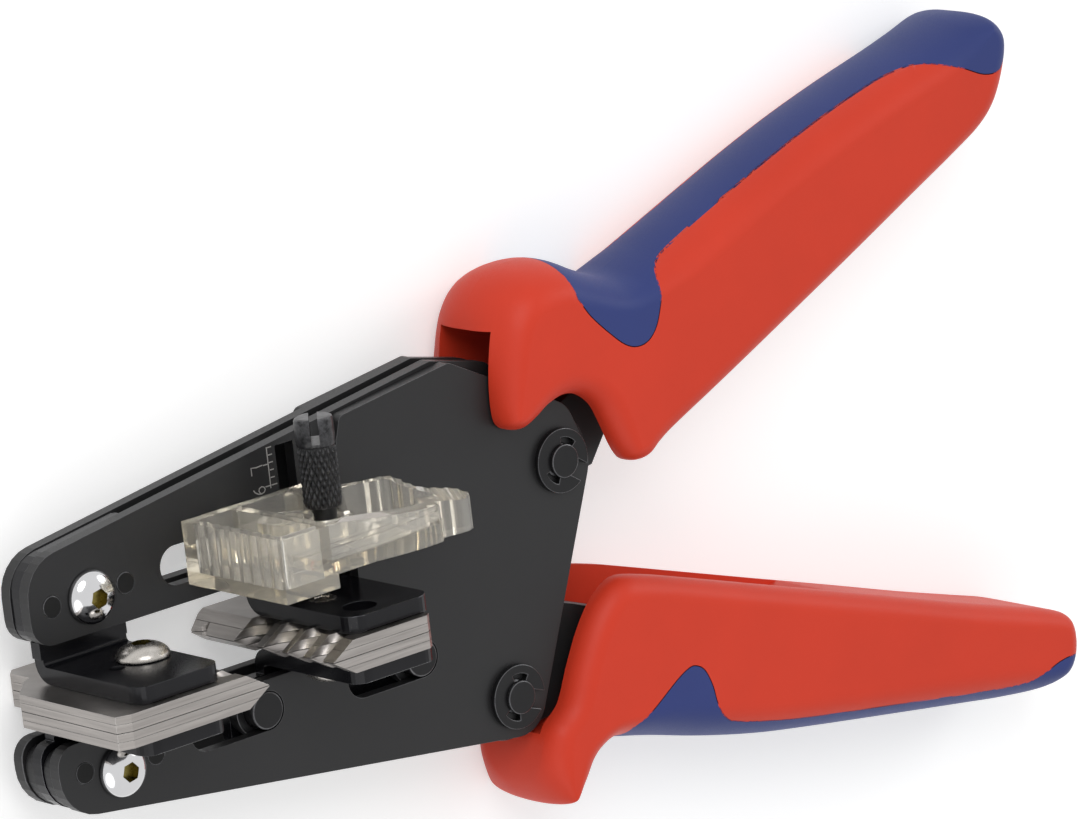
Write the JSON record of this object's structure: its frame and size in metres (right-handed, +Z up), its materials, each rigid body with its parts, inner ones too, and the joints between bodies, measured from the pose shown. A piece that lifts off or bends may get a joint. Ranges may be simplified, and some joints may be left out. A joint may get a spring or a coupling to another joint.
{
  "type": "automatic wire stripper",
  "caption": "Hand-held automatic wire stripper: two moulded handles drive form blades over clamps in a burnished plate head, with a clear sliding length stop.",
  "frame": {"origin": "centre of the bounding box's underside, on the plane that the tool lies on", "axes": "+X from the jaws towards the handles, +Y from the lower arm to the upper arm, +Z up through the plates, towards the jaws' working face"},
  "size_m": [0.191, 0.107, 0.0347],
  "materials": {
    "dark_steel": "burnished black, satin",
    "bracket_steel": "burnished black, polished",
    "jaw_steel": "ground, satin",
    "bright_screw": "plated, bright",
    "pin_steel": "burnished black, satin",
    "spring_steel": "bright spring steel",
    "red_grip": "satin",
    "blue_inlay": "satin",
    "clear_stop": "clear, polished"
  },
  "bodies": {
    "frame": {"rear_side_plate": "dark_steel", "front_side_plate": "dark_steel", "lower_arm_spacers": "dark_steel", "left_clamp_bracket": "bracket_steel", "left_clamp_plates": "jaw_steel", "left_clamp_screw": "bright_screw", "lower_arm_rivets": "pin_steel", "lower_arm_screw": "bright_screw", "upper_handle_pin": "pin_steel", "lower_handle_pin": "pin_steel", "pin_clips": "pin_steel", "handle_spring": "spring_steel"},
    "upper_arm": {"upper_arm_rear_plate": "dark_steel", "upper_arm_front_plate": "dark_steel", "left_blade_bracket": "bracket_steel", "left_blade_plates": "jaw_steel", "left_blade_screw": "bright_screw", "upper_arm_rivets": "pin_steel", "upper_arm_screw": "bright_screw"},
    "blade_jaw": {"blade_slider": "bracket_steel", "right_blade_plates": "jaw_steel", "right_blade_screw": "bright_screw", "blade_guide_pins": "pin_steel"},
    "clamp_jaw": {"clamp_slider": "bracket_steel", "right_clamp_plates": "jaw_steel", "right_clamp_screw": "bright_screw", "clamp_guide_pins": "pin_steel", "clamp_guide_bushes": "pin_steel"},
    "upper_handle": {"upper_lever": "dark_steel", "upper_grip": "red_grip", "upper_grip_inlay": "blue_inlay"},
    "lower_handle": {"lower_lever": "dark_steel", "lower_drive_pin": "pin_steel", "lower_grip": "red_grip", "lower_grip_inlay": "blue_inlay"},
    "stop": {"length_stop": "clear_stop", "stop_key": "clear_stop"},
    "stop_screw": {"stop_screw": "pin_steel"}
  },
  "joints": [
    {"name": "upper_handle_pivot", "type": "hinge", "parent": "frame", "child": "upper_handle", "pos_m": [-0.00039, 0.00601, 0.0097], "axis": [0, 0, 1], "range_deg": [-23, 0], "stiffness_Nm_per_rad": 0.5, "springref_deg": 20.05},
    {"name": "lower_handle_pivot", "type": "hinge", "parent": "frame", "child": "lower_handle", "pos_m": [-0.01329, -0.02579, 0.0097], "axis": [0, 0, 1], "range_deg": [0, 18.2]},
    {"name": "arm_spread_pivot", "type": "hinge", "parent": "frame", "child": "upper_arm", "pos_m": [-0.00039, 0.00601, 0.0097], "axis": [0, 0, 1], "range_deg": [-8.5, 0]},
    {"name": "blade_jaw_slide", "type": "slide", "parent": "upper_arm", "child": "blade_jaw", "axis": [-1, 0, 0], "range_m": [0, 0.0108]},
    {"name": "clamp_jaw_slide", "type": "slide", "parent": "frame", "child": "clamp_jaw", "axis": [-1, 0, 0], "range_m": [0, 0.0108]},
    {"name": "length_stop_slide", "type": "slide", "parent": "upper_arm", "child": "stop", "axis": [0, 1, 0], "range_m": [-0.0022, 0.0072]},
    {"name": "stop_screw_turn", "type": "hinge", "parent": "stop", "child": "stop_screw", "pos_m": [-0.0473, 0.00601, 0.02018], "axis": [0, 1, 0], "range_deg": [-360, 360]}
  ],
  "couplings": [
    {"joint": "lower_handle_pivot", "follows": "upper_handle_pivot", "ratio": -0.787},
    {"joint": "arm_spread_pivot", "follows": "upper_handle_pivot", "ratio": 0.365},
    {"joint": "blade_jaw_slide", "follows": "upper_handle_pivot", "m_per_rad": -0.02685},
    {"joint": "clamp_jaw_slide", "follows": "upper_handle_pivot", "m_per_rad": -0.02685}
  ]
}
